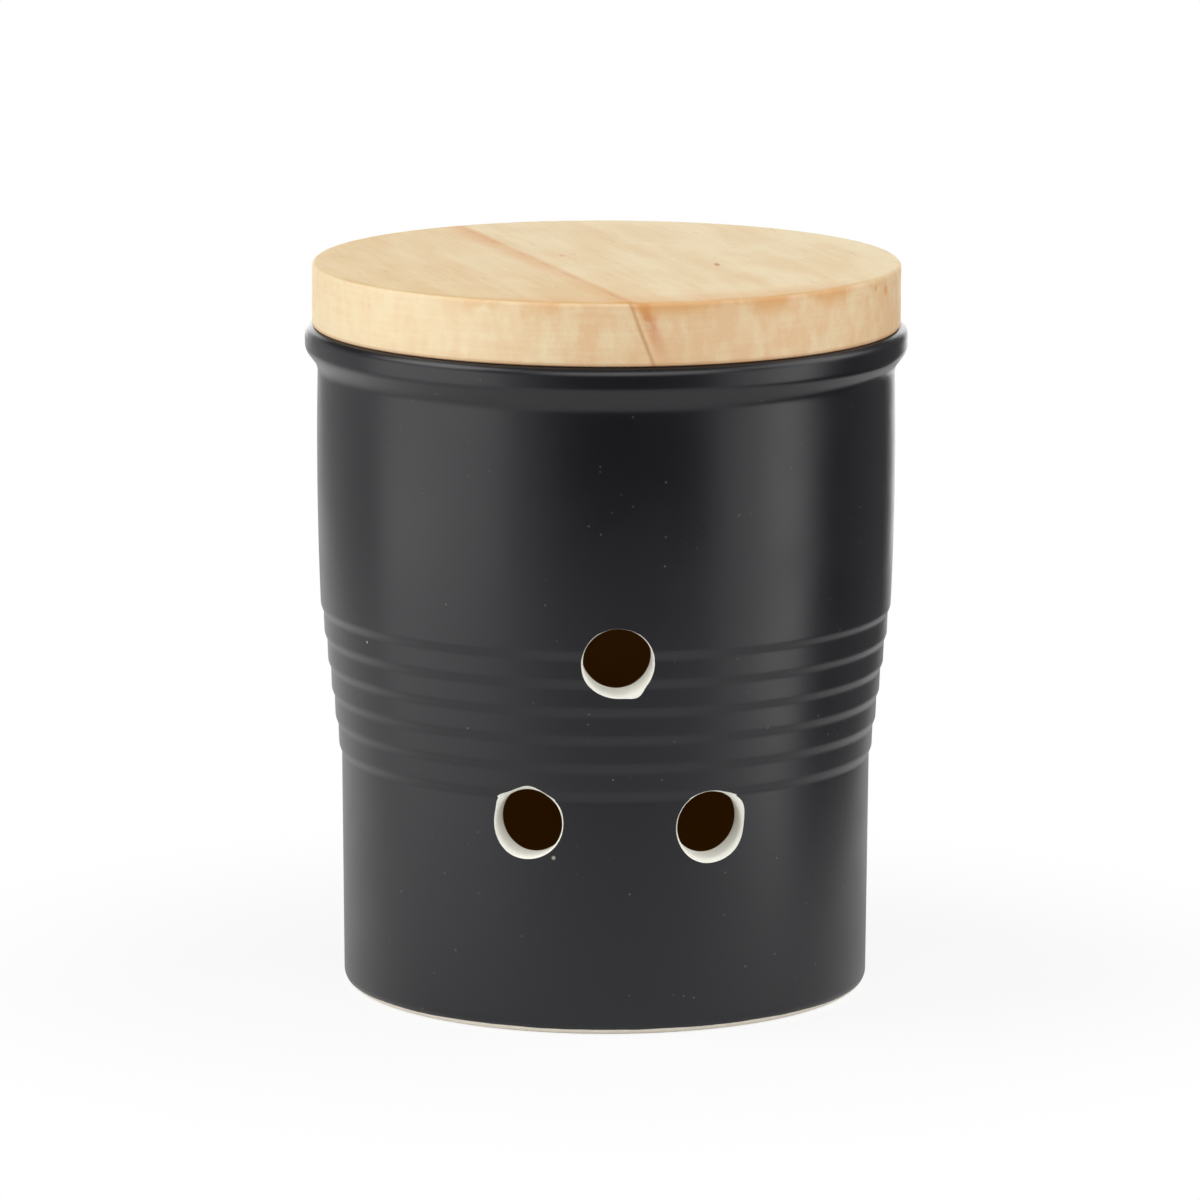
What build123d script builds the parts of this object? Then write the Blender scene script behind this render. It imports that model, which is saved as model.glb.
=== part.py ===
"""Garlic keeper: a vented stoneware jar closed by a wooden lid with a silicone seal.

Millimetres, +Z up. The origin is on the resting plane, on the jar's axis.
The vents face -Y. Every piece is placed where it sits in the closed keeper.
"""
import os
from math import atan, cos, radians, sin

from build123d import *

# ---- Jar, outside -------------------------------------------------------
jar_height = 133.5
rim_radius = 60.0            # widest part of the rolled rim
wall_top_radius = 57.45      # wall just under the rim
wall_belly_radius = 57.6     # the upper wall swells a little
wall_low_radius = 57.0       # wall just above the stepped band
body_radius = 52.85          # straight lower body, under the stepped band
body_mid_radius = 52.7
body_foot_radius = 52.45     # lower body just above the foot's rounding
foot_round = 1.2

# ---- Rolled rim ---------------------------------------------------------
rim_under_z = 125.5          # where the rim's underside meets the wall
rim_side_z = 128.8           # where the underside meets the rim's side
rim_under_round = 2.2
rim_side_round = 2.6
rim_top_round = 2.0
mouth_round = 1.5

# ---- Stepped band: turned rings that widen the jar from body to wall -----
step_count = 6
step_pitch = 5.71
first_step_z = 47.2          # foot of the lowest step's slope
step_out = 0.56              # how far a slope carries the wall outwards
step_height = 1.4            # height of a slope
step_foot_round = 1.6
step_top_round = 2.2

# ---- Jar, inside --------------------------------------------------------
wall = 5.0
floor_thickness = 6.5
floor_corner = 9.0
mouth_radius = 52.4
inner_wide_z = 79.1          # the inside narrows from here
inner_narrow_z = 46.7        # to here, and is straight again below
inner_bend = 25.0            # soft bends where the inside narrows
floor_draft = 0.4            # the lower inside closes in this much towards the floor
foot_ring_width = 4.2        # flat ring of bare clay that the jar stands on
foot_recess = 1.6
foot_recess_slope = 1.6

# ---- Vents --------------------------------------------------------------
vent_radius = 6.6
vent_mouth_radius = 7.4      # outer edge, bevelled by hand before firing
vent_bevel_angle = 90
vent_bevel_stand_off = 0.2   # the bevel tool starts just outside the wall
top_vent_z = 74.9
low_vent_z = 41.7
low_vent_angle = 19.6        # either side of -Y

# ---- Lid ----------------------------------------------------------------
lid_radius = 58.55
lid_thickness = 12.5
lid_edge_round = 0.9
lid_under_round = 0.6
plug_radius = 51.5
plug_depth = 9.0
plug_edge_round = 1.0
seal_groove_z = 3.2          # top of the groove, under the lid's flat
seal_groove_height = 3.8
seal_groove_depth = 2.4

# ---- Seal ---------------------------------------------------------------
seal_clearance = 0.12        # between the ring and its groove
seal_mouth_gap = 0.2         # between the fins, as pressed in, and the mouth
fin_count = 2
fin_thickness = 0.8
fin_tip_thickness = 0.55
fin_rise = 0.35              # the fins sweep up towards their tips
web_proud = 0.15             # the ring's web stands out of the plug this far

# the nearly upright rings between the slopes take up what the slopes leave
ring_out = (wall_low_radius - body_radius - step_count * step_out) / (step_count - 1)
taper = atan((step_out + ring_out) / step_pitch)


def step_foot(index):
    """Foot of one step's slope, counted from the lowest."""
    return (body_radius + index * (step_out + ring_out), first_step_z + index * step_pitch)


def step_top(index):
    """Top of the same slope, where the ring above it starts."""
    r, z = step_foot(index)
    return (r + step_out, z + step_height)


def round_corners(sketch, places, radius):
    """Fillets the sketch's corners at these places, given as (radius, height)."""
    for r, z in places:
        fillet(sketch.vertices().sort_by_distance((r, z))[0], radius)


os.makedirs("parts", exist_ok=True)

# =========================================================================
# Jar: one turned piece of stoneware, with three vents cut through its wall
# =========================================================================
foot_outer = body_foot_radius - foot_round
foot_inner = foot_outer - foot_ring_width
inner_low_radius = body_radius - wall
body_mid_z = first_step_z / 2
feet = [step_foot(i) for i in range(step_count)]
tops = [step_top(i) for i in range(step_count)]
steps = [corner for pair in zip(feet, tops) for corner in pair]
shoulder = tops[-1]
belly_z = (shoulder[1] + rim_under_z) / 2
rim_under = (wall_top_radius, rim_under_z)
rim_side = (rim_radius, rim_side_z)
rim_top = (rim_radius, jar_height)
mouth_top = (mouth_radius, jar_height)
inner_wide = (mouth_radius, inner_wide_z)
inner_narrow = (inner_low_radius, inner_narrow_z)
floor_edge = (inner_low_radius - floor_draft, floor_thickness)

with BuildPart() as jar:
    with BuildSketch(Plane.XZ) as section:
        with BuildLine():
            # standing face and the rounding of the foot
            Line((0, foot_recess), (foot_inner - foot_recess_slope, foot_recess))
            Line((foot_inner - foot_recess_slope, foot_recess), (foot_inner, 0))
            Line((foot_inner, 0), (foot_outer, 0))
            foot_arc = JernArc((foot_outer, 0), (1, 0), foot_round, 90)
            # lower body, then the steps, then the upper wall
            ThreePointArc(foot_arc @ 1, (body_mid_radius, body_mid_z), feet[0])
            Polyline(*steps)
            ThreePointArc(shoulder, (wall_belly_radius, belly_z), rim_under)
            # rolled rim
            Polyline(rim_under, rim_side, rim_top, mouth_top)
            # inside, down to the floor
            Polyline(mouth_top, inner_wide, inner_narrow, floor_edge, (0, floor_thickness))
            Line((0, floor_thickness), (0, foot_recess))
        make_face()
        round_corners(section, feet, step_foot_round)
        round_corners(section, tops, step_top_round)
        round_corners(section, [rim_under], rim_under_round)
        round_corners(section, [rim_side], rim_side_round)
        round_corners(section, [rim_top], rim_top_round)
        round_corners(section, [mouth_top], mouth_round)
        round_corners(section, [inner_wide, inner_narrow], inner_bend)
        round_corners(section, [floor_edge], floor_corner)
    revolve(axis=Axis.Z)


def cut_vent(angle, height, radius, tilt):
    """Bores one vent square to the wall; angle is counted from -Y, tilt leans its mouth down."""
    outward = Vector(sin(angle) * cos(tilt), -cos(angle) * cos(tilt), -sin(tilt))
    reach = radius + vent_bevel_stand_off
    at_wall = Plane(
        origin=(reach * sin(angle), -reach * cos(angle), height),
        x_dir=(cos(angle), sin(angle), 0),
        z_dir=outward,
    )
    with Locations(at_wall):
        CounterSinkHole(vent_radius, vent_mouth_radius, 2 * wall, vent_bevel_angle)


with jar:
    cut_vent(0, top_vent_z, feet[-1][0], taper)
    cut_vent(radians(-low_vent_angle), low_vent_z, body_radius, 0)
    cut_vent(radians(low_vent_angle), low_vent_z, body_radius, 0)

jar.part.label = "jar"
export_step(jar.part, "parts/jar.step")

# =========================================================================
# Lid: a wooden disc, with a smaller disc glued under it that plugs the mouth
# =========================================================================
with BuildPart() as lid_top:
    with BuildSketch(Plane.XY.offset(jar_height)):
        Circle(lid_radius)
    extrude(amount=lid_thickness)
    fillet(lid_top.edges().sort_by(Axis.Z)[-1], lid_edge_round)
    fillet(lid_top.edges().sort_by(Axis.Z)[0], lid_under_round)

lid_top.part.label = "lid_top"
export_step(lid_top.part, "parts/lid_top.step")

groove_top_z = jar_height - seal_groove_z
groove_floor_radius = plug_radius - seal_groove_depth

with BuildPart() as lid_plug:
    with BuildSketch(Plane.XY.offset(jar_height)):
        Circle(plug_radius)
    extrude(amount=-plug_depth)
    fillet(lid_plug.edges().sort_by(Axis.Z)[0], plug_edge_round)
    with BuildSketch(Plane.XY.offset(groove_top_z)):
        Circle(mouth_radius)
        Circle(groove_floor_radius, mode=Mode.SUBTRACT)
    extrude(amount=-seal_groove_height, mode=Mode.SUBTRACT)

lid_plug.part.label = "lid_plug"
export_step(lid_plug.part, "parts/lid_plug.step")

# =========================================================================
# Seal: a silicone ring in the plug's groove, with fins that brush the mouth
# =========================================================================
web_inner = groove_floor_radius + seal_clearance
web_outer = plug_radius + web_proud
web_height = seal_groove_height - 2 * seal_clearance
web_top_z = groove_top_z - seal_clearance
fin_tip = mouth_radius - seal_mouth_gap
fin_pitch = (web_height - fin_thickness - fin_rise) / (fin_count - 1)

with BuildPart() as lid_seal:
    with BuildSketch(Plane.XZ) as seal_section:
        with Locations(((web_inner + web_outer) / 2, web_top_z - web_height / 2)):
            Rectangle(web_outer - web_inner, web_height)
        for fin in range(fin_count):
            root_z = web_top_z - web_height + fin * fin_pitch
            with BuildLine():
                Polyline(
                    (web_inner, root_z),
                    (fin_tip, root_z + fin_rise),
                    (fin_tip, root_z + fin_rise + fin_tip_thickness),
                    (web_inner, root_z + fin_thickness),
                    close=True,
                )
            make_face()
    revolve(axis=Axis.Z)

lid_seal.part.label = "lid_seal"
export_step(lid_seal.part, "parts/lid_seal.step")
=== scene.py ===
from math import acos, cos, exp, pi, radians, sin, sqrt, tan

import bmesh
import bpy
from mathutils import Matrix, Vector


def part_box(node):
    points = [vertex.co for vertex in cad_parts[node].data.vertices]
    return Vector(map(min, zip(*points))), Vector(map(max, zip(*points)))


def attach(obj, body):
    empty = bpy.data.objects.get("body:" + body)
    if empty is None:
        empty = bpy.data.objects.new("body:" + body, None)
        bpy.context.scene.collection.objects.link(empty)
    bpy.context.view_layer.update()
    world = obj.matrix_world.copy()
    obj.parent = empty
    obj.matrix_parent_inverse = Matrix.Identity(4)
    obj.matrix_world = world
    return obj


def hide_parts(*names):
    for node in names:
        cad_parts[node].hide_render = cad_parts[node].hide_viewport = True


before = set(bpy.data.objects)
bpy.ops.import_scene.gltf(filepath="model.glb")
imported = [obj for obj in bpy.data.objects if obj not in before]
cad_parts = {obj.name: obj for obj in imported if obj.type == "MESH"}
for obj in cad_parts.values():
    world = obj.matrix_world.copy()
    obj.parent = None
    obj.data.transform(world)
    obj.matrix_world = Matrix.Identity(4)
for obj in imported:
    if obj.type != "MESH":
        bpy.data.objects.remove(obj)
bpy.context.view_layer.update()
mm = 0.001
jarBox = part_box("jar")
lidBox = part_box("lid_top")
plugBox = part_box("lid_plug")
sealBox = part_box("lid_seal")
print("frame loaded:", ", ".join(sorted(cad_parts)))


# small helpers for node trees; shader and geometry trees share them

def addNode(tree, kind, sockets=None, **settings):
    # sockets maps an input's name to a value, or to the output that feeds it
    made = tree.nodes.new(kind)
    for name, value in settings.items():
        setattr(made, name, value)
    for name, value in (sockets or {}).items():
        feed(tree, made.inputs[name], value)
    return made


def feed(tree, socket, value):
    if isinstance(value, bpy.types.NodeSocket):
        tree.links.new(value, socket)
    else:
        socket.default_value = value


def calc(tree, operation, *values, clamp=False):
    made = tree.nodes.new("ShaderNodeMath")
    made.operation = operation
    made.use_clamp = clamp
    for socket, value in zip(made.inputs, values):
        feed(tree, socket, value)
    return made.outputs[0]


def plus(tree, total, *others, clamp=False):
    # clamp keeps the whole sum between 0 and 1
    for other in others:
        total = calc(tree, "ADD", total, other, clamp=clamp and other is others[-1])
    return total


def minus(tree, first, second):
    return calc(tree, "SUBTRACT", first, second)


def times(tree, total, *others):
    for other in others:
        total = calc(tree, "MULTIPLY", total, other)
    return total


def vectorCalc(tree, operation, first, second=(0, 0, 0)):
    made = tree.nodes.new("ShaderNodeVectorMath")
    made.operation = operation
    feed(tree, made.inputs[0], first)
    feed(tree, made.inputs[1], second)
    return made.outputs[1 if operation in ("LENGTH", "DOT_PRODUCT") else 0]


def separate(tree, vector):
    return addNode(tree, "ShaderNodeSeparateXYZ", {"Vector": vector}).outputs[:]


def ramp(tree, value, low, high, toLow=0.0, toHigh=1.0, smooth=True):
    kind = "SMOOTHSTEP" if smooth else "LINEAR"
    made = addNode(tree, "ShaderNodeMapRange", {
        "Value": value, "From Min": low, "From Max": high, "To Min": toLow, "To Max": toHigh,
    }, interpolation_type=kind)
    return made.outputs[0]


def mixColour(tree, share, first, second):
    made = tree.nodes.new("ShaderNodeMix")
    made.data_type = "RGBA"
    feed(tree, made.inputs[0], share)
    for socket, value in zip(made.inputs[6:8], (first, second)):
        feed(tree, socket, value if isinstance(value, bpy.types.NodeSocket) else (*value, 1))
    return made.outputs[2]


def noise(tree, vector, scale, detail=2.0, roughness=0.5):
    made = addNode(tree, "ShaderNodeTexNoise", {
        "Vector": vector, "Scale": scale, "Detail": detail, "Roughness": roughness,
    })
    return made.outputs[0]


def newMaterial(name):
    made = bpy.data.materials.new(name)
    made.use_nodes = True
    return made, made.node_tree, made.node_tree.nodes["Principled BSDF"]


def objectPlace(tree):
    return addNode(tree, "ShaderNodeTexCoord").outputs["Object"]


def fromAxis(tree, place):
    return vectorCalc(tree, "LENGTH", vectorCalc(tree, "MULTIPLY", place, (1, 1, 0)))


def addBump(tree, shader, height, depth):
    bump = addNode(tree, "ShaderNodeBump", {"Height": height, "Distance": depth})
    tree.links.new(bump.outputs[0], shader.inputs["Normal"])


# outlines of turned pieces, as (radius, height) points

bendStep = radians(6)          # about how far one short run of a rounding turns


def between(start, end, step):
    # the points that cut a straight run at about this step, without its ends
    pieces = max(1, round((end - start).length / step))
    return [start.lerp(end, i / pieces) for i in range(1, pieces)]


def roundCorner(corner, previous, following, rounding):
    before = (previous - corner).normalized()
    after = (following - corner).normalized()
    half = acos(max(-1, min(1, before.dot(after)))) / 2
    start = corner + before * rounding / tan(half)
    centre = corner + (before + after).normalized() * rounding / sin(half)
    turn = (corner - centre).angle_signed(start - centre, 0)
    count = max(3, round(abs(turn) * 2 / bendStep))
    bend = []
    for i in range(count + 1):
        arm = (corner - centre).normalized() * rounding
        arm.rotate(Matrix.Rotation(-turn * (1 - 2 * i / count), 2))
        bend.append(centre + arm)
    return bend


def roundedOutline(corners, step):
    # each corner is (radius, height, rounding); straight runs are cut at step
    places = [Vector(corner[:2]) for corner in corners]
    points = []
    for index, corner in enumerate(places):
        rounding = corners[index][2]
        if rounding == 0 or index in (0, len(places) - 1):
            bend = [corner]
        else:
            bend = roundCorner(corner, places[index - 1], places[index + 1], rounding)
        if points:
            points += between(points[-1], bend[0], step)
        points += bend
    return points


def outlineObject(name, points):
    edges = [(i, i + 1) for i in range(len(points) - 1)]
    mesh = bpy.data.meshes.new(name)
    mesh.from_pydata([(p[0], 0, p[1]) for p in points], edges, [])
    made = bpy.data.objects.new(name, mesh)
    bpy.context.scene.collection.objects.link(made)
    return made


# the turning tree: an outline of points is swung round the Z axis

turning = {
    "lead": 0.18,                              # a step's rounding starts this share of the pitch early
    "fadeOut": (1.4 * mm, 0.2 * mm),           # over the last step the plain wall takes over again
    "mergeWithin": 0.001 * mm,
}


def addTreeSockets(tree):
    sockets = tree.interface
    sockets.new_socket("Geometry", in_out="OUTPUT", socket_type="NodeSocketGeometry")
    for name, kind in (
        ("Geometry", "Geometry"), ("Around", "Int"), ("Step count", "Int"), ("Step pitch", "Float"),
        ("First step height", "Float"), ("First step radius", "Float"), ("Step out", "Float"),
        ("Step height", "Float"), ("Ring out", "Float"), ("Corner softness", "Float"),
        ("Steps start outside", "Float"), ("Cutters", "Object"), ("Finish", "Material"),
        ("Cut finish", "Material"),
    ):
        sockets.new_socket(name, in_out="INPUT", socket_type="NodeSocket" + kind)


def steppedRadius(tree, given, radius, height):
    # a step: a short slope carries the wall outwards, then a nearly upright ring follows
    pitch, stepOut, stepHeight = given["Step pitch"], given["Step out"], given["Step height"]
    ringOut, softness = given["Ring out"], given["Corner softness"]
    lead = times(tree, pitch, turning["lead"])
    lastStep = minus(tree, given["Step count"], 1)
    fromFirst = minus(tree, height, given["First step height"])
    index = calc(tree, "FLOOR", calc(tree, "DIVIDE", plus(tree, fromFirst, lead), pitch))
    index = calc(tree, "MAXIMUM", calc(tree, "MINIMUM", index, lastStep), 0.0)
    into = minus(tree, fromFirst, times(tree, index, pitch))
    ringSlope = calc(tree, "DIVIDE", ringOut, minus(tree, pitch, stepHeight))
    slope = times(tree, into, calc(tree, "DIVIDE", stepOut, stepHeight))
    foot = calc(tree, "SMOOTH_MAX", slope, times(tree, into, ringSlope), softness)
    ring = plus(tree, stepOut, times(tree, minus(tree, into, stepHeight), ringSlope))
    profile = calc(tree, "SMOOTH_MIN", foot, ring, softness)
    carried = times(tree, index, plus(tree, stepOut, ringOut))
    stepped = plus(tree, given["First step radius"], carried, profile)

    # the plain wall goes on under the first step, over the last one and all over the inside
    end = plus(tree, times(tree, lastStep, pitch), stepHeight)
    begins = ramp(tree, fromFirst, times(tree, lead, -1.0), 0.0)
    ends = ramp(tree, minus(tree, fromFirst, end), *turning["fadeOut"])
    outside = calc(tree, "GREATER_THAN", radius, given["Steps start outside"])
    share = times(tree, begins, ends, outside)
    return plus(tree, radius, times(tree, share, minus(tree, stepped, radius)))


def buildTurningTree():
    tree = bpy.data.node_groups.new("turnedPiece", "GeometryNodeTree")
    addTreeSockets(tree)
    given = tree.nodes.new("NodeGroupInput").outputs
    result = tree.nodes.new("NodeGroupOutput").inputs[0]

    # a flat grid: one column for each bit of the turn, one row for each outline point
    size = addNode(tree, "GeometryNodeAttributeDomainSize", {"Geometry": given["Geometry"]}, component="MESH")
    rows = size.outputs["Point Count"]
    grid = addNode(tree, "GeometryNodeMeshGrid", {
        "Size X": 1.0, "Size Y": 1.0, "Vertices X": plus(tree, given["Around"], 1), "Vertices Y": rows,
    })
    flatX, flatY = separate(tree, addNode(tree, "GeometryNodeInputPosition").outputs[0])[:2]
    turned = plus(tree, flatX, 0.5)
    row = calc(tree, "ROUND", times(tree, plus(tree, flatY, 0.5), minus(tree, rows, 1)))
    outline = addNode(tree, "GeometryNodeSampleIndex", {
        "Geometry": given["Geometry"], "Index": row,
    }, data_type="FLOAT_VECTOR", domain="POINT")
    tree.links.new(addNode(tree, "GeometryNodeInputPosition").outputs[0], outline.inputs["Value"])
    plainRadius, depth, height = separate(tree, outline.outputs[0])

    radius = steppedRadius(tree, given, plainRadius, height)
    angle = times(tree, turned, 2 * pi)
    place = addNode(tree, "ShaderNodeCombineXYZ", {
        "X": times(tree, radius, calc(tree, "COSINE", angle)),
        "Y": times(tree, radius, calc(tree, "SINE", angle)),
        "Z": height,
    })
    moved = addNode(tree, "GeometryNodeSetPosition", {
        "Geometry": grid.outputs["Mesh"], "Position": place.outputs[0],
    })
    closed = addNode(tree, "GeometryNodeMergeByDistance", {
        "Geometry": moved.outputs[0], "Distance": turning["mergeWithin"],
    })
    finished = addNode(tree, "GeometryNodeSetMaterial", {
        "Geometry": closed.outputs[0], "Material": given["Finish"],
    })

    # holes: the cutters' faces mark what they leave, and their edges stay crisp
    tools = addNode(tree, "GeometryNodeObjectInfo", {"Object": given["Cutters"]}, transform_space="RELATIVE")
    marked = addNode(tree, "GeometryNodeStoreNamedAttribute", {
        "Geometry": tools.outputs["Geometry"], "Name": "cutFace", "Value": True,
    }, data_type="BOOLEAN", domain="FACE")
    cut = addNode(tree, "GeometryNodeMeshBoolean", {
        "Mesh 1": finished.outputs[0], "Mesh 2": marked.outputs[0],
    }, operation="DIFFERENCE", solver="MANIFOLD")
    smooth = addNode(tree, "GeometryNodeSetShadeSmooth", {
        "Geometry": cut.outputs["Mesh"], "Shade Smooth": True,
    })
    crisp = addNode(tree, "GeometryNodeSetShadeSmooth", {
        "Geometry": smooth.outputs[0], "Selection": cut.outputs["Intersecting Edges"], "Shade Smooth": False,
    }, domain="EDGE")
    whole = addNode(tree, "GeometryNodeRealizeInstances", {"Geometry": crisp.outputs[0]})
    chosen = addNode(tree, "GeometryNodeInputNamedAttribute", {"Name": "cutFace"}, data_type="BOOLEAN")
    last = addNode(tree, "GeometryNodeSetMaterial", {
        "Geometry": whole.outputs[0], "Selection": chosen.outputs["Attribute"],
        "Material": given["Cut finish"],
    })
    tree.links.new(last.outputs[0], result)
    return tree


def turnPiece(name, points, tree, inputs):
    # the outline's object carries the tree; its result becomes a plain mesh under the piece's name
    source = outlineObject(name + "Outline", points)
    modifier = source.modifiers.new("turning", "NODES")
    modifier.node_group = tree
    for item in tree.interface.items_tree:
        if item.item_type == "SOCKET" and item.in_out == "INPUT" and item.name in inputs:
            modifier[item.identifier] = inputs[item.name]
    shape = source.evaluated_get(bpy.context.evaluated_depsgraph_get())
    mesh = bpy.data.meshes.new_from_object(shape)
    source.modifiers.clear()
    bpy.data.objects.remove(source)
    slots = [face.material_index for face in mesh.polygons]
    used = sorted(set(slots))
    finishes = [mesh.materials[i] for i in used]
    mesh.materials.clear()             # this also sets every face back to the first slot
    for finish in finishes:
        mesh.materials.append(finish)
    mesh.polygons.foreach_set("material_index", [used.index(i) for i in slots])
    mesh.name = name
    made = bpy.data.objects.new(name, mesh)
    bpy.context.scene.collection.objects.link(made)
    print(name, "turned:", len(mesh.polygons), "faces")
    return made


turningTree = buildTurningTree()


# finishes; a scale counts features in a metre, and a ramp is two values between which a share runs,
# then the shares at the two where they aren't 0 and 1

bareClay = {
    "colour": (0.925, 0.91, 0.82),
    "roughness": 0.75,
    "grain": 0.35 * mm,
    "grainDetail": 3.0,
    "grainDepth": 0.02 * mm,
    "fleckRamp": (0.35, 0.75),
    "fleckShade": 0.93,
}

blackGlaze = {
    "colour": (0.0041, 0.0041, 0.0066),
    "cloudScale": 45.0,                # slow changes of shade and gloss
    "cloudShades": (0.85, 1.15),
    "cloudRamp": (0.3, 0.7),
    "roughness": 0.34,
    "roughnessSpread": 0.05,
    "peelSize": 1.6 * mm,              # the glaze's slight orange peel
    "peelDepth": 0.012 * mm,
    "specks": 0.22,                    # how strong the pale pinholes are
    "speckGap": 2.1 * mm,
    "speckRamp": (0.15, 0.05),         # their size, as a share of the gap
    "speckAbove": 0.85,                # only cells with a random value above this hold one
    "speckColour": (0.35, 0.33, 0.30),
    "footLine": 1.25 * mm,             # the glaze was wiped off below this height
    "footLineWander": 0.3 * mm,
    "footLineScale": 90.0,
    "footLineSoft": 0.06 * mm,
    "footClay": (0.90, 0.83, 0.71),
    # larger pale marks: x, y, z and size in mm, strength
    "marks": [(-13.0, -51.2, 35.6, 0.5, 0.5), (-1.5, -53.7, 51.5, 0.3, 0.5), (-48.5, -28.5, 74.5, 0.35, 0.6)],
    "markCore": 0.5,                   # the share of a mark's size that is at full strength
    "markColour": (0.66, 0.60, 0.50),
}

insideGlaze = {
    "colour": (0.20, 0.088, 0.02),
    "glow": (0.0115, 0.0044, 0.0),     # painted light: the inside glows a little, as if lit through the vents, so it shows brown, not black
    "within": 52.46 * mm,              # it starts past the mouth's rounding
    "below": 132.0 * mm,
    "above": 6.0 * mm,
}

lidWood = {
    "pale": (0.825, 0.665, 0.40),
    "warm": (0.74, 0.505, 0.225),
    "edgePale": (0.84, 0.685, 0.435),  # the turned edge is a little greyer than the faces
    "edgeWarm": (0.785, 0.525, 0.29),
    "orange": (0.70, 0.33, 0.085),
    "reddish": (0.60, 0.225, 0.085),
    "brown": (0.44, 0.16, 0.035),
    "roughness": 0.55,
    "fibreDepth": 0.012 * mm,
    "grainTurn": radians(-13.3),       # the grain runs this far off the Y axis
    "ringLean": (0.94, 0.025, 0.34),   # across the layers of growth
    "ringNoise": (190.0, 3.0, 0.55),   # scale, detail and roughness of what differs from layer to layer
    "ringAlong": 0.07,                 # and how much less it changes along and up the board
    "ringUp": 0.2,
    "wander": 2.0 * mm,                # how far the layers swing about
    "streakAt": 37.1 * mm,             # where the reddish layer lies, measured across the layers
    "lineAt": -0.2 * mm,               # the dark line, measured from there
    "paleBand": radians(-33.2),        # a pale upright band on the edge, by its angle from -Y
    "growthOnFace": 0.38,
    "growthOnEdge": 0.18,
    # stretch across, along and up the board, then scale, detail and roughness
    "noises": {
        "wander": ((1, 0.2, 1), 24.0, 2.0, 0.5),
        "patches": ((1, 0.4, 1), 95.0, 4.0, 0.6),
        "fibres": ((1, 0.03, 1), 1500.0, 3.0, 0.6),
        "pores": ((1, 0.08, 1), 1700.0, 1.0, 0.5),
        "blotches": ((1, 1, 0.65), 185.0, 4.0, 0.6),
        "scuffs": ((1, 1, 0.45), 460.0, 3.0, 0.6),
        "sawMarks": ((1, 1, 14), 85.0, 2.0, 0.5),
        "clouds": ((1, 1, 1), 130.0, 3.0, 0.5),
        "fading": ((0.2, 1, 0.2), 38.0, 3.0, 0.5),
        "breaks": ((0.2, 1, 0.2), 70.0, 2.0, 0.5),
    },
    "ramps": {
        # from the lid's side inwards, along the grain, and down from the lid's top
        "edge": (-0.65 * mm, -0.15 * mm),
        "frontOfFace": (-12.55 * mm, -0.55 * mm),
        "front": (-35 * mm, -50 * mm),
        "topOfEdge": (-4.5 * mm, -0.5 * mm),
        # painted shadow along the foot of the edge, over the rim
        "shadowAtFoot": (-11.5 * mm, -12.4 * mm),
        # tones of the faces
        "growth": (0.34, 0.66),
        "facePatches": (0.35, 0.65, -0.05, 0.42),
        "faceFibres": (0.3, 0.7, -0.09, 0.12),
        "warmSide": (5 * mm, -8 * mm, 0.0, 0.36),
        "paleSide": (22 * mm, 56 * mm, 0.0, -0.18),
        # tones of the turned edge
        "edgeAcross": (-50 * mm, 8 * mm, -0.05, 0.34),
        "edgeBlotches": (0.36, 0.64, 0.0, 0.6),
        "blotchesAcross": (-50 * mm, -20 * mm, 0.35, 1.0),
        "edgeScuffs": (0.3, 0.7, -0.14, 0.14),
        "sawMarks": (0.3, 0.7, -0.12, 0.12),
        # marks
        "pores": (0.67, 0.78),
        "poresOnEdge": (0.0, 1.0, 1.0, 0.4),
        "bandLeft": (-5.5 * mm, 0.1 * mm),
        "bandRight": (1.7 * mm, 0.4 * mm),
        "bandFading": (0.35, 0.6, 0.6, 1.0),
        "line": (0.6 * mm, 0.06 * mm),
        "lineOnEdge": (0.0, 1.0, 0.0, 0.9),
        "lineBreaks": (0.48, 0.64, 0.25, 1.0),
        "lineAlong": (-10 * mm, -45 * mm, 0.5, 0.8),
        "smudgeLeft": (0.4 * mm, 1.6 * mm),
        "smudgeRight": (4.2 * mm, 2.2 * mm),
        "smudgeUp": (-14 * mm, -1 * mm),
        "smudgeBlotches": (0.42, 0.56, 0.45, 1.0),
        "clouds": (0.4, 0.6),
        "paleBand": (2.2 * mm, 1.6 * mm),
    },
    # how strong each mark is, and its paint
    "tints": {
        "pores": (0.28, "brown"),
        "band": (0.74, "orange"),
        "line": (0.55, "brown"),
        "smudge": (0.85, "reddish"),
        "topOfEdge": (0.7, "orange"),
        "frontOfFace": (0.42, "orange"),
        # painted shadow where the lid sits on the rim
        "shadowAtFoot": (0.5, "brown"),
        "paleBand": (0.4, "edgePale"),
    },
    # small marks: x, y, z and size in mm, how many times longer they are along Y, strength, paint
    "spots": [
        (21.5, -7.0, 146.0, 0.75, 4.0, 0.85, "brown"),
        (-8.5, 6.9, 146.0, 0.9, 2.4, 0.7, "orange"),
        (-8.6, -57.9, 144.8, 1.3, 1.0, 0.6, "pale"),
        (53.6, -23.5, 143.2, 1.5, 1.0, 0.75, "orange"),
        (51.5, -28.5, 144.2, 1.2, 1.0, 0.65, "orange"),
    ],
    "spotCore": 0.3,                   # the share of a spot's size that is at full strength
}

softSilicone = {
    "shaded": (0.78, 0.79, 0.78),
    "pale": (0.86, 0.87, 0.86),
    "hazeScale": 120.0,
    "roughnessRamp": (0.3, 0.7, 0.38, 0.5),
    "subsurface": 0.3,
    "subsurfaceReach": 1.5 * mm,
}


def clayGrain(tree, place):
    return noise(tree, place, 1.0 / bareClay["grain"], bareClay["grainDetail"])


def clayColour(tree, place, base):
    fleck = ramp(tree, clayGrain(tree, place), *bareClay["fleckRamp"])
    return mixColour(tree, fleck, [c * bareClay["fleckShade"] for c in base], base)


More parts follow.
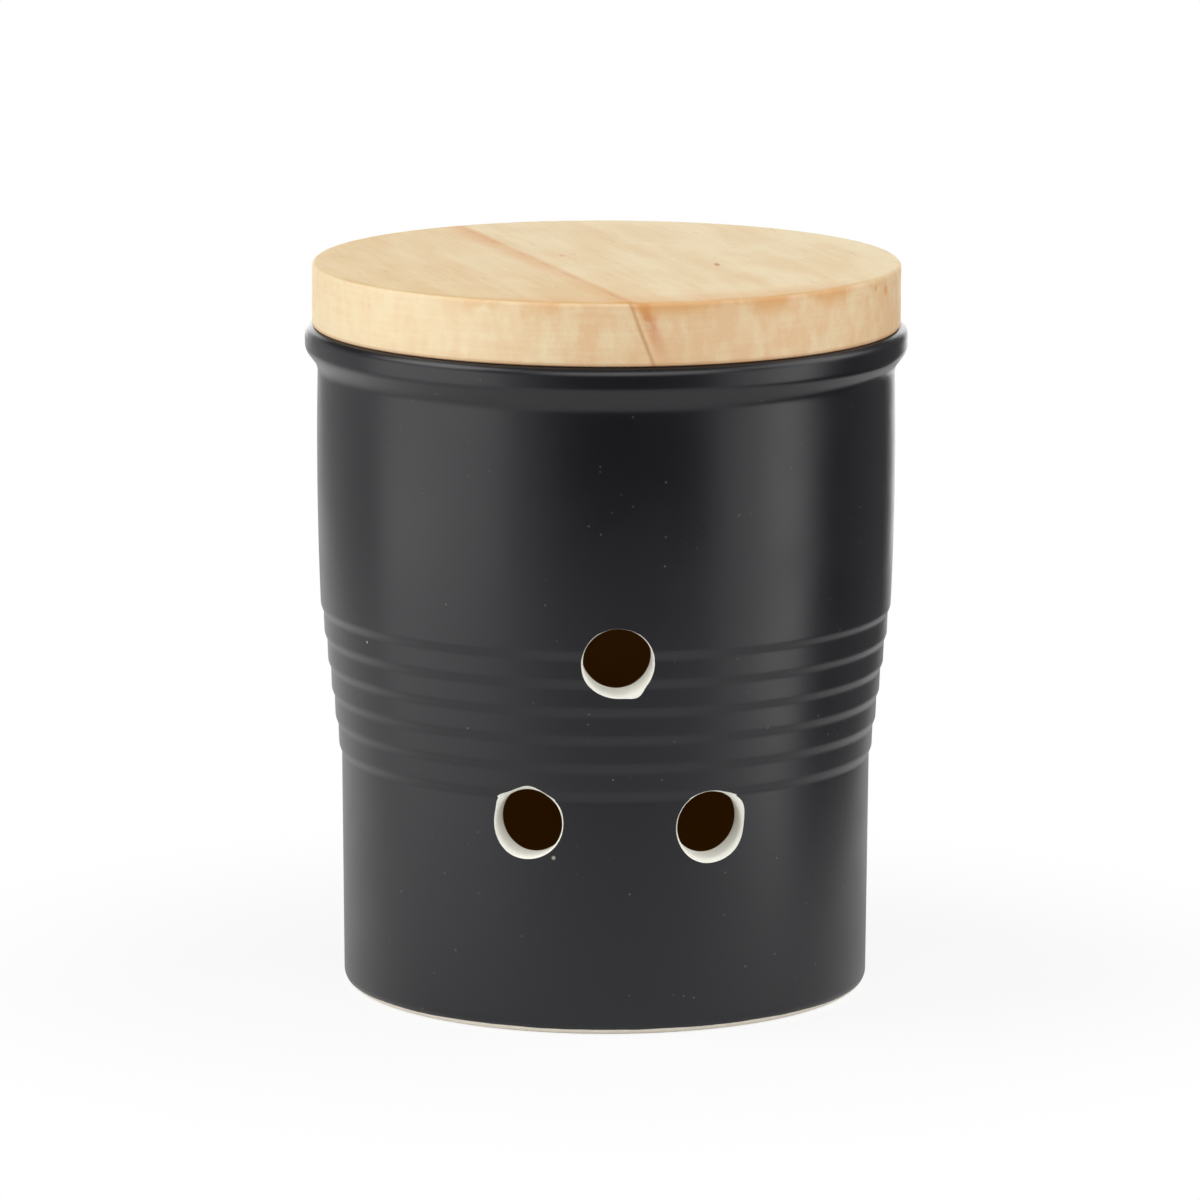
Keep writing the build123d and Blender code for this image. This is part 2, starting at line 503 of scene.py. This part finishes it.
def makeClay():
    made, tree, shader = newMaterial("bareClay")
    place = objectPlace(tree)
    tree.links.new(clayColour(tree, place, bareClay["colour"]), shader.inputs["Base Color"])
    shader.inputs["Roughness"].default_value = bareClay["roughness"]
    addBump(tree, shader, clayGrain(tree, place), bareClay["grainDepth"])
    return made


def makeGlaze():
    made, tree, shader = newMaterial("blackGlaze")
    look = blackGlaze
    place = objectPlace(tree)
    height = separate(tree, place)[2]
    cloud = noise(tree, place, look["cloudScale"])
    dark, light = [[c * shade for c in look["colour"]] for shade in look["cloudShades"]]
    colour = mixColour(tree, cloud, dark, light)

    # pale pinholes: a few cells of a fine pattern hold one dot each, some fainter than others
    cells = addNode(tree, "ShaderNodeTexVoronoi", {"Vector": place, "Scale": 1.0 / look["speckGap"]})
    chance, strength = separate(tree, cells.outputs["Color"])[:2]
    dot = ramp(tree, cells.outputs["Distance"], *look["speckRamp"])
    held = calc(tree, "GREATER_THAN", chance, look["speckAbove"])
    colour = mixColour(tree, times(tree, held, strength, dot, look["specks"]), colour, look["speckColour"])
    for x, y, z, size, strength in look["marks"]:
        near = vectorCalc(tree, "SUBTRACT", place, (x * mm, y * mm, z * mm))
        away = vectorCalc(tree, "LENGTH", near)
        mark = ramp(tree, away, size * mm, look["markCore"] * size * mm, 0.0, strength)
        colour = mixColour(tree, mark, colour, look["markColour"])

    # the inside is a browner glaze, with a painted glow of its own that stands in for light reaching it
    # through the vents
    inside = times(tree, calc(tree, "LESS_THAN", fromAxis(tree, place), insideGlaze["within"]),
                   calc(tree, "LESS_THAN", height, insideGlaze["below"]),
                   calc(tree, "GREATER_THAN", height, insideGlaze["above"]))
    colour = mixColour(tree, inside, colour, insideGlaze["colour"])
    # painted light: the inside's own glow
    glow = mixColour(tree, inside, (0, 0, 0), insideGlaze["glow"])
    tree.links.new(glow, shader.inputs["Emission Color"])
    shader.inputs["Emission Strength"].default_value = 1.0

    # bare clay below the wiped line round the foot
    swing = minus(tree, noise(tree, place, look["footLineScale"]), 0.5)
    line = plus(tree, height, times(tree, swing, -2 * look["footLineWander"]))
    soft = look["footLineSoft"]
    bare = ramp(tree, line, look["footLine"] + soft, look["footLine"] - soft)
    colour = mixColour(tree, bare, colour, clayColour(tree, place, look["footClay"]))
    tree.links.new(colour, shader.inputs["Base Color"])

    half = look["roughnessSpread"] / 2
    rough = ramp(tree, cloud, *look["cloudRamp"], look["roughness"] - half, look["roughness"] + half)
    rough = plus(tree, rough, times(tree, bare, bareClay["roughness"] - look["roughness"]))
    tree.links.new(rough, shader.inputs["Roughness"])
    addBump(tree, shader, noise(tree, place, 1.0 / look["peelSize"]), look["peelDepth"])
    return made


def makeWood():
    made, tree, shader = newMaterial("lidWood")
    look, tints = lidWood, lidWood["tints"]
    place = objectPlace(tree)
    grain = addNode(tree, "ShaderNodeMapping", {
        "Vector": place, "Rotation": (0, 0, look["grainTurn"]),
    }).outputs[0]
    across, along, up = separate(tree, grain)

    def woodNoise(name, vector=grain):
        stretch, scale, detail, roughness = look["noises"][name]
        return noise(tree, vectorCalc(tree, "MULTIPLY", vector, stretch), scale, detail, roughness)

    def woodRamp(name, value, smooth=True):
        return ramp(tree, value, *look["ramps"][name], smooth=smooth)

    def tint(colour, share, strength, paint):
        return mixColour(tree, calc(tree, "MULTIPLY", share, strength, clamp=True), colour, look[paint])

    toSide = minus(tree, fromAxis(tree, place), lidBox[1].x)
    toTop = minus(tree, up, lidBox[1].z)
    edge = woodRamp("edge", toSide)
    face = minus(tree, 1.0, edge)
    front = woodRamp("front", along)

    # the layers of growth are nearly flat sheets through the board; 0 is the reddish one
    wander = times(tree, minus(tree, woodNoise("wander"), 0.5), look["wander"])
    layer = plus(tree, vectorCalc(tree, "DOT_PRODUCT", grain, look["ringLean"]), wander)
    layer = minus(tree, layer, look["streakAt"])
    sheet = addNode(tree, "ShaderNodeCombineXYZ", {
        "X": layer, "Y": times(tree, along, look["ringAlong"]), "Z": times(tree, up, look["ringUp"]),
    })
    growth = woodRamp("growth", noise(tree, sheet.outputs[0], *look["ringNoise"]))
    fibres = woodNoise("fibres")

    # flat faces: cloudy patches and soft streaks, a little warmer on one side of the reddish layer
    tone = plus(tree, woodRamp("facePatches", woodNoise("patches")),
                times(tree, growth, look["growthOnFace"]), woodRamp("warmSide", layer),
                woodRamp("paleSide", layer), woodRamp("faceFibres", fibres), clamp=True)
    flat = mixColour(tree, tone, look["pale"], look["warm"])

    # turned edge: paler on the left, mottled towards the front, with fine level saw marks
    blotches = woodNoise("blotches")
    mottled = times(tree, woodRamp("edgeBlotches", blotches), woodRamp("blotchesAcross", across))
    tone = plus(tree, woodRamp("edgeAcross", across, smooth=False), mottled,
                times(tree, growth, look["growthOnEdge"]), woodRamp("edgeScuffs", woodNoise("scuffs")),
                woodRamp("sawMarks", woodNoise("sawMarks", place)), clamp=True)
    turnedEdge = mixColour(tree, tone, look["edgePale"], look["edgeWarm"])
    colour = mixColour(tree, edge, flat, turnedEdge)

    # short dark pores along the fibres
    pores = times(tree, woodRamp("pores", woodNoise("pores")), woodRamp("poresOnEdge", edge))
    colour = tint(colour, pores, *tints["pores"])

    # the reddish layer: a broad soft band on the faces, and a thin dark line that goes on down the
    # edge with a smudge beside it
    band = times(tree, woodRamp("bandLeft", layer), woodRamp("bandRight", layer), face,
                 woodRamp("bandFading", woodNoise("fading")))
    colour = tint(colour, band, *tints["band"])
    offLine = calc(tree, "ABSOLUTE", minus(tree, layer, look["lineAt"]))
    broken = times(tree, woodRamp("lineBreaks", woodNoise("breaks")), woodRamp("lineAlong", along))
    line = times(tree, woodRamp("line", offLine),
                 calc(tree, "MAXIMUM", woodRamp("lineOnEdge", edge), broken))
    colour = tint(colour, line, *tints["line"])
    smudge = times(tree, woodRamp("smudgeLeft", layer), woodRamp("smudgeRight", layer),
                   woodRamp("smudgeUp", toTop), edge, front, woodRamp("smudgeBlotches", blotches))
    colour = tint(colour, smudge, *tints["smudge"])

    # warm tints along the front edge, a painted brown shadow at its foot where the lid sits on the rim, and
    # one pale upright band
    clouds = woodRamp("clouds", woodNoise("clouds"))
    colour = tint(colour, times(tree, woodRamp("topOfEdge", toTop), clouds, front, edge), *tints["topOfEdge"])
    colour = tint(colour, times(tree, woodRamp("frontOfFace", toSide), front, face), *tints["frontOfFace"])
    # painted shadow: the foot of the edge is darkened brown, as the shade between lid and rim
    colour = tint(colour, times(tree, woodRamp("shadowAtFoot", toTop), edge), *tints["shadowAtFoot"])
    aside = (cos(look["paleBand"]), sin(look["paleBand"]), 0)
    offBand = calc(tree, "ABSOLUTE", vectorCalc(tree, "DOT_PRODUCT", place, aside))
    colour = tint(colour, times(tree, woodRamp("paleBand", offBand), edge, front), *tints["paleBand"])
    for x, y, z, size, long, strength, paint in look["spots"]:
        near = vectorCalc(tree, "SUBTRACT", place, (x * mm, y * mm, z * mm))
        away = vectorCalc(tree, "LENGTH", vectorCalc(tree, "MULTIPLY", near, (1, 1 / long, 1)))
        spot = ramp(tree, away, size * mm, look["spotCore"] * size * mm)
        colour = tint(colour, spot, strength, paint)
    tree.links.new(colour, shader.inputs["Base Color"])
    shader.inputs["Roughness"].default_value = look["roughness"]
    addBump(tree, shader, fibres, look["fibreDepth"])
    return made


def makeSilicone():
    made, tree, shader = newMaterial("sealSilicone")
    look = softSilicone
    haze = noise(tree, objectPlace(tree), look["hazeScale"])
    tree.links.new(mixColour(tree, haze, look["shaded"], look["pale"]), shader.inputs["Base Color"])
    tree.links.new(ramp(tree, haze, *look["roughnessRamp"]), shader.inputs["Roughness"])
    shader.inputs["Subsurface Weight"].default_value = look["subsurface"]
    shader.inputs["Subsurface Radius"].default_value = (look["subsurfaceReach"],) * 3
    return made


glazeFinish = makeGlaze()
clayFinish = makeClay()
woodFinish = makeWood()
siliconeFinish = makeSilicone()
print("finishes made")


# vents: three hand-cut holes, each with its own slightly uneven edge

ventShapes = {
    # angle from -Y and height of the centre, radius of the bore and of its bevelled edge, the bore's
    # sideways swing and downward lean, the wall's radius and taper at the centre, then nicks in the
    # edge as (direction in degrees, reach in mm, half width in degrees)
    "top": {"angle": radians(-0.7), "height": 75.1 * mm, "bore": 6.75 * mm, "edge": 7.1 * mm,
            "swing": radians(3.2), "lean": 0.20, "wall": 56.4 * mm, "taper": 0.13,
            "nicks": [(215, 0.3, 30), (300, 0.8, 15)]},
    "left": {"angle": radians(-19.8), "height": 42.2 * mm, "bore": 6.6 * mm, "edge": 7.2 * mm,
             "swing": radians(2.5), "lean": 0.04, "wall": 52.87 * mm, "taper": 0.0,
             "nicks": [(142, 0.85, 14), (88, 0.45, 16), (235, 0.65, 35), (28, 0.25, 18)]},
    "right": {"angle": radians(19.6), "height": 41.4 * mm, "bore": 6.6 * mm, "edge": 7.15 * mm,
              "swing": radians(-9.5), "lean": 0.10, "wall": 52.87 * mm, "taper": 0.0,
              "nicks": [(30, 1.15, 24), (262, 0.75, 45), (318, 0.75, 30)]},
}
ventCut = {
    "around": 96,
    "deep": 9 * mm,                    # the cutters reach this far into the jar
    "straight": 3.5 * mm,              # the bore is straight up to here
    "bevelDepth": 1.4 * mm,
    "bevelSteps": 8,
    "proud": 2.5 * mm,                 # and they stand this far out of the wall
}


def nickReach(shape, angle):
    reach = 0.0
    for direction, size, spread in shape["nicks"]:
        off = (angle - direction + 180) % 360 - 180
        reach += size * mm * exp(-(off / spread) ** 2)
    return reach


def ventRings():
    # from inside the jar outwards: how far out, how far the ring flares from the bore to the edge,
    # and whether it follows the wall's curve
    rings = [(-ventCut["deep"], 0.0, False), (-ventCut["straight"], 0.0, False)]
    for i in range(ventCut["bevelSteps"] + 1):
        turn = i / ventCut["bevelSteps"] * pi / 2
        rings.append((-ventCut["bevelDepth"] * (1 - sin(turn)), 1 - cos(turn), True))
    rings.append((ventCut["proud"], 1.0, True))
    return rings


def addVentCutter(mesh, shape):
    angle, aim, wall = shape["angle"], shape["angle"] + shape["swing"], shape["wall"]
    centre = Vector((wall * sin(angle), -wall * cos(angle), shape["height"]))
    outward = Vector((sin(aim), -cos(aim), -shape["lean"])).normalized()
    sideways = Vector((cos(aim), sin(aim), 0))
    upward = outward.cross(sideways)
    upward = upward if upward.z > 0 else -upward

    def toWall(start):
        # how far it is from here to the wall, along the bore
        reach = wall + shape["taper"] * (start.z - centre.z)
        square = outward.x ** 2 + outward.y ** 2
        half = start.x * outward.x + start.y * outward.y
        outside = start.x ** 2 + start.y ** 2 - reach ** 2
        return (sqrt(half ** 2 - square * outside) - half) / square

    around = ventCut["around"]
    loops = []
    for out, flare, follows in ventRings():
        loop = []
        for k in range(around):
            direction = 360 * k / around
            edge = shape["edge"] + nickReach(shape, direction)
            r = shape["bore"] + (edge - shape["bore"]) * flare
            arm = sideways * (r * cos(radians(direction))) + upward * (r * sin(radians(direction)))
            start = centre + arm
            shift = toWall(start) if follows else 0.0
            loop.append(mesh.verts.new(start + outward * (out + shift)))
        loops.append(loop)
    for lower, upper in zip(loops, loops[1:]):
        for k in range(around):
            n = (k + 1) % around
            mesh.faces.new((lower[k], lower[n], upper[n], upper[k]))
    mesh.faces.new(list(reversed(loops[0])))
    mesh.faces.new(loops[-1])


def makeVentCutters():
    shell = bmesh.new()
    for shape in ventShapes.values():
        addVentCutter(shell, shape)
    bmesh.ops.recalc_face_normals(shell, faces=shell.faces)
    for face in shell.faces:
        face.smooth = True
    mesh = bpy.data.meshes.new("ventCutters")
    shell.to_mesh(mesh)
    shell.free()
    made = bpy.data.objects.new("ventCutters", mesh)
    bpy.context.scene.collection.objects.link(made)
    print("vent cutters made")
    return made


# jar

jarSizes = {
    "height": jarBox[1].z,
    "rimRadius": jarBox[1].x,
    "rimUnder": 125.5 * mm,            # heights where the rim's underside leaves the wall and where it ends
    "rimSide": 128.8 * mm,
    "underRim": 57.45 * mm,            # the wall under the rim
    "belly": 0.38 * mm,                # the upper wall swells by this
    "upperWallOver": 56 * mm,          # only the upper wall's outside is wider than this
    "shoulder": 57.0 * mm,             # the wall over the top step
    "body": 52.85 * mm,                # the lower body, under the steps
    "foot": 52.45 * mm,
    "underRimRound": 4.5 * mm,
    "rimSideRound": 2.6 * mm,
    "rimTopRound": 2.0 * mm,
    "mouthRound": 1.5 * mm,
    "footRound": 2.7 * mm,
    "firstStep": 47.2 * mm,            # foot of the lowest step
    "stepPitch": 5.71 * mm,
    "steps": 6,
    "stepOut": 0.56 * mm,
    "stepHeight": 1.4 * mm,
    "cornerSoftness": 0.18 * mm,
    "bandOver": 52.6 * mm,             # the steps are only where the jar is wider than this
    "bandMargin": 2.6 * mm,
    "mouth": 52.4 * mm,
    "innerLow": 47.9 * mm,
    "innerWideHeight": 79.1 * mm,      # the inside narrows from here
    "innerNarrowHeight": 46.7 * mm,    # to here
    "innerBend": 25 * mm,
    "floorHeight": 6.5 * mm,
    "floorDraft": 0.4 * mm,
    "floorCorner": 9 * mm,
    "footRing": 4.2 * mm,
    "footRingRound": 0.4 * mm,
    "footRecess": 1.6 * mm,
    "around": 264,
    "plainStep": 2.5 * mm,             # length of the outline's runs, and where the steps stand
    "bandStep": 0.3 * mm,
}


def jarOutline():
    s = jarSizes
    top = s["height"]
    shoulder = s["firstStep"] + (s["steps"] - 1) * s["stepPitch"] + s["stepHeight"]
    ringInner = s["foot"] - s["footRound"] - s["footRing"]
    points = roundedOutline([
        (0, s["footRecess"], 0),
        (ringInner - s["footRecess"], s["footRecess"], s["footRingRound"]),
        (ringInner, 0, s["footRingRound"]),
        (s["foot"], 0, s["footRound"]),
        (s["body"], s["firstStep"], 0),
        (s["shoulder"], shoulder, 0),
        (s["underRim"], s["rimUnder"], s["underRimRound"]),
        (s["rimRadius"], s["rimSide"], s["rimSideRound"]),
        (s["rimRadius"], top, s["rimTopRound"]),
        (s["mouth"], top, s["mouthRound"]),
        (s["mouth"], s["innerWideHeight"], s["innerBend"]),
        (s["innerLow"], s["innerNarrowHeight"], s["innerBend"]),
        (s["innerLow"] - s["floorDraft"], s["floorHeight"], s["floorCorner"]),
        (0, s["floorHeight"], 0),
    ], s["plainStep"])
    for p in points:
        share = (p[1] - shoulder) / (s["rimUnder"] - shoulder)
        if 0 < share < 1 and p[0] > s["upperWallOver"]:
            p[0] += 4 * s["belly"] * share * (1 - share)
    return refineBand(points, s["firstStep"] - s["bandMargin"], shoulder + s["bandMargin"])


def refineBand(points, low, high):
    # more points where the steps stand, on the outside only
    finer = [points[0]]
    for a, b in zip(points, points[1:]):
        if min(a[1], b[1]) > low and max(a[1], b[1]) < high and min(a[0], b[0]) > jarSizes["bandOver"]:
            finer += between(a, b, jarSizes["bandStep"])
        finer.append(b)
    return finer


def jarInputs(cutters):
    s = jarSizes
    return {
        "Around": s["around"],
        "Step count": s["steps"],
        "Step pitch": s["stepPitch"],
        "First step height": s["firstStep"],
        "First step radius": s["body"],
        "Step out": s["stepOut"],
        "Step height": s["stepHeight"],
        "Ring out": (s["shoulder"] - s["body"] - s["steps"] * s["stepOut"]) / (s["steps"] - 1),
        "Corner softness": s["cornerSoftness"],
        "Steps start outside": s["bandOver"],
        "Cutters": cutters,
        "Finish": glazeFinish,
        "Cut finish": clayFinish,
    }


cutters = makeVentCutters()
jar = turnPiece("stonewareJar", jarOutline(), turningTree, jarInputs(cutters))
bpy.data.objects.remove(cutters)
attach(jar, "jar")
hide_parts("jar")


# wooden lid, its plug and the soft seal

lidSizes = {
    "edgeRound": 0.9 * mm,
    "underRound": 0.35 * mm,
    "plugRound": 1.0 * mm,
    "lipRound": 0.2 * mm,              # edges and corners of the seal's groove
    "grooveRound": 0.1 * mm,
    "around": 192,
    "outlineStep": 1.5 * mm,
}
sealSizes = {
    "groove": 3.8 * mm,
    "grooveDepth": 2.4 * mm,
    "grooveTop": 3.2 * mm,             # under the plug's top
    "clear": 0.12 * mm,                # between the ring and the groove's floor
    "proud": 0.15 * mm,                # the ring's web stands out of the plug this far
    "fins": 2,
    "fin": 0.8 * mm,                   # a fin's thickness at its root and at its tip
    "tip": 0.55 * mm,
    "rootShare": 0.8,                  # its upper side meets the web at this share of the thickness
    "rise": 0.35 * mm,                 # the fins sweep up towards their tips
    "webRound": 0.1 * mm,
    "rootRound": 0.05 * mm,
    "tipRound": 0.12 * mm,
    "outlineStep": 0.4 * mm,
}
# no step and no hole: the steps would only start a metre out
unstepped = 1.0


def plainInputs(finish):
    return {
        "Around": lidSizes["around"],
        "Steps start outside": unstepped,
        "Finish": finish,
        "Cut finish": finish,
    }


def lidOutline():
    low, high, r = lidBox[0].z, lidBox[1].z, lidBox[1].x
    return roundedOutline([
        (0, low, 0), (r, low, lidSizes["underRound"]), (r, high, lidSizes["edgeRound"]), (0, high, 0),
    ], lidSizes["outlineStep"])


def plugOutline():
    low, high, r = plugBox[0].z, plugBox[1].z, plugBox[1].x
    top = high - sealSizes["grooveTop"]
    bottom = top - sealSizes["groove"]
    inner = r - sealSizes["grooveDepth"]
    lip, corner = lidSizes["lipRound"], lidSizes["grooveRound"]
    return roundedOutline([
        (0, low, 0), (r, low, lidSizes["plugRound"]), (r, bottom, lip), (inner, bottom, corner),
        (inner, top, corner), (r, top, lip), (r, high, 0), (0, high, 0),
    ], lidSizes["outlineStep"])


def sealOutline():
    s = sealSizes
    low, high, tip = sealBox[0].z, sealBox[1].z, sealBox[1].x
    inner = plugBox[1].x - s["grooveDepth"] + s["clear"]
    web = plugBox[1].x + s["proud"]
    corners = [(inner, low, s["webRound"])]
    slope = s["rise"] / (tip - inner)
    pitch = (high - low - s["fin"] - s["rise"]) / (s["fins"] - 1)
    for fin in range(s["fins"]):
        root = low + fin * pitch
        corners += [
            (web, root + slope * (web - inner), s["rootRound"] if fin else 0),
            (tip, root + s["rise"], s["tipRound"]),
            (tip, root + s["rise"] + s["tip"], s["tipRound"]),
            (web, root + s["rise"] + s["fin"] * s["rootShare"], s["rootRound"]),
        ]
    corners += [(web, high, s["webRound"]), (inner, high, s["webRound"]), (inner, low, 0)]
    return roundedOutline(corners, s["outlineStep"])


lid = turnPiece("woodenLid", lidOutline(), turningTree, plainInputs(woodFinish))
plug = turnPiece("lidPlug", plugOutline(), turningTree, plainInputs(woodFinish))
seal = turnPiece("siliconeSeal", sealOutline(), turningTree, plainInputs(siliconeFinish))
for piece, body, node, slot in (
    (lid, "lid", "lid_top", "lid_wood"),
    (plug, "lid", "lid_plug", "lid_wood"),
    (seal, "seal", "lid_seal", "seal_silicone"),
):
    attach(piece, body)
    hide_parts(node)


# floor, light and camera; metres and degrees

studio = {
    "tableFront": -0.34,
    "tableBack": 2.6,
    "tableLeft": -0.30,
    "tableRight": 0.19,
    "tableLevel": -0.02 * mm,
    "tableColour": (0.84, 0.84, 0.84),
    "tableRoughness": 0.9,
    "nearGlow": 0.86,                  # how much of the table's white is its own near the keeper, where
    "nearReach": 0.08,                 # the shadow falls; it is all its own from farReach on
    "farReach": 0.17,
    "glossyLeft": 1.0,                 # how much of its white shows in glossy surfaces: this much left
    "glossyRight": 0.365,              # of glossyFrom, and this much right of the middle
    "glossyFrom": -0.18,
    "world": 0.03,
    "aimHeight": 0.05,                 # the softboxes face the keeper at this height
}
softboxes = {
    # azimuth from above (0 in front, 90 on the right), height of the centre, distance, width, height,
    # brightness
    "leftWall": (-69, 0.05, 1.2, 1.36, 0.9, 1.85),
    "leftFade": (-31, 0.05, 1.2, 0.4, 0.9, 0.5),
    "leftBack": (-126, 0.05, 1.2, 1.1, 0.9, 0.5),
    "rightStrip": (75, 0.05, 1.2, 0.46, 0.9, 2.45),
    "rightFade": (53, 0.05, 1.2, 0.42, 0.9, 1.25),
    "rightBack": (131, 0.05, 1.2, 1.0, 0.9, 0.14),
    "backWall": (-179, 0.05, 1.2, 1.0, 0.9, 3.6),
    "highLeft": (-80, 1.05, 1.0, 0.95, 0.8, 4.0),
    "highFront": (12, 1.05, 1.0, 1.6, 0.8, 2.9),
    "highRight": (98, 0.85, 1.0, 0.95, 0.8, 2.3),
}
view = {
    "lens": 262.9,
    "sensor": 36,
    "clipStart": 0.05,
    "clipEnd": 20,
    "distance": 1.7254,
    "height": 0.3919,
    "side": -1.153 * mm,
    "pitch": 10.332,
    "turn": -3.2,
    "roll": 0.132,
}


def makeFloor():
    s = studio
    left, right, low, high = s["tableLeft"], s["tableRight"], s["tableFront"], s["tableBack"]
    corners = [(x, y, s["tableLevel"]) for x, y in ((left, low), (right, low), (right, high), (left, high))]
    mesh = bpy.data.meshes.new("tableTop")
    mesh.from_pydata(corners, [], [(0, 1, 2, 3)])
    made = bpy.data.objects.new("tableTop", mesh)
    bpy.context.scene.collection.objects.link(made)

    finish, tree, shader = newMaterial("whiteTable")
    shader.inputs["Base Color"].default_value = (*s["tableColour"], 1)
    shader.inputs["Roughness"].default_value = s["tableRoughness"]
    shader.inputs["Specular IOR Level"].default_value = 0.0
    glow = addNode(tree, "ShaderNodeEmission", {"Strength": 1.0})
    rays = addNode(tree, "ShaderNodeLightPath").outputs
    place = objectPlace(tree)
    away = vectorCalc(tree, "LENGTH", place)
    white = ramp(tree, away, s["nearReach"], s["farReach"], s["nearGlow"], 1.0)
    glossy = ramp(tree, separate(tree, place)[0], s["glossyFrom"], 0.0, s["glossyLeft"], s["glossyRight"])
    mirrored = calc(tree, "MAXIMUM", rays["Is Glossy Ray"], rays["Is Transmission Ray"])
    share = plus(tree, times(tree, rays["Is Camera Ray"], white), times(tree, mirrored, glossy), clamp=True)
    mix = addNode(tree, "ShaderNodeMixShader")
    tree.links.new(share, mix.inputs[0])
    tree.links.new(shader.outputs[0], mix.inputs[1])
    tree.links.new(glow.outputs[0], mix.inputs[2])
    tree.links.new(mix.outputs[0], tree.nodes["Material Output"].inputs["Surface"])
    mesh.materials.append(finish)


def makeWorld():
    world = bpy.data.worlds.new("studioWorld")
    bpy.context.scene.world = world
    world.use_nodes = True
    tree = world.node_tree
    rays = addNode(tree, "ShaderNodeLightPath").outputs
    strength = calc(tree, "MAXIMUM", rays["Is Camera Ray"], studio["world"])
    tree.links.new(strength, tree.nodes["Background"].inputs["Strength"])
    tree.nodes["Background"].inputs["Color"].default_value = (1, 1, 1, 1)


def makeSoftbox(name, azimuth, centre, distance, width, height, bright):
    light = bpy.data.lights.new(name, "AREA")
    light.shape = "RECTANGLE"
    light.size, light.size_y = width, height
    light.energy = pi * width * height * bright
    made = bpy.data.objects.new(name, light)
    bpy.context.scene.collection.objects.link(made)
    turn = radians(azimuth + view["turn"])
    made.location = (distance * sin(turn), -distance * cos(turn), centre)
    aim = Vector((0, 0, studio["aimHeight"])) - made.location
    made.rotation_euler = aim.to_track_quat("-Z", "Y").to_euler()
    made.visible_camera = False


def makeCamera():
    data = bpy.data.cameras.new("camera")
    data.sensor_width = view["sensor"]
    data.lens = view["lens"]
    data.clip_start, data.clip_end = view["clipStart"], view["clipEnd"]
    made = bpy.data.objects.new("camera", data)
    bpy.context.scene.collection.objects.link(made)
    around = Matrix.Rotation(radians(view["turn"]), 4, "Z")
    place = Matrix.Translation((view["side"], -view["distance"], view["height"]))
    tilt = Matrix.Rotation(radians(90 - view["pitch"]), 4, "X")
    roll = Matrix.Rotation(radians(view["roll"]), 4, "Z")
    made.matrix_world = around @ place @ tilt @ roll
    bpy.context.scene.camera = made


makeFloor()
makeWorld()
for name, box in softboxes.items():
    makeSoftbox(name, *box)
makeCamera()
bpy.context.scene.view_settings.view_transform = "Standard"
print("studio set")
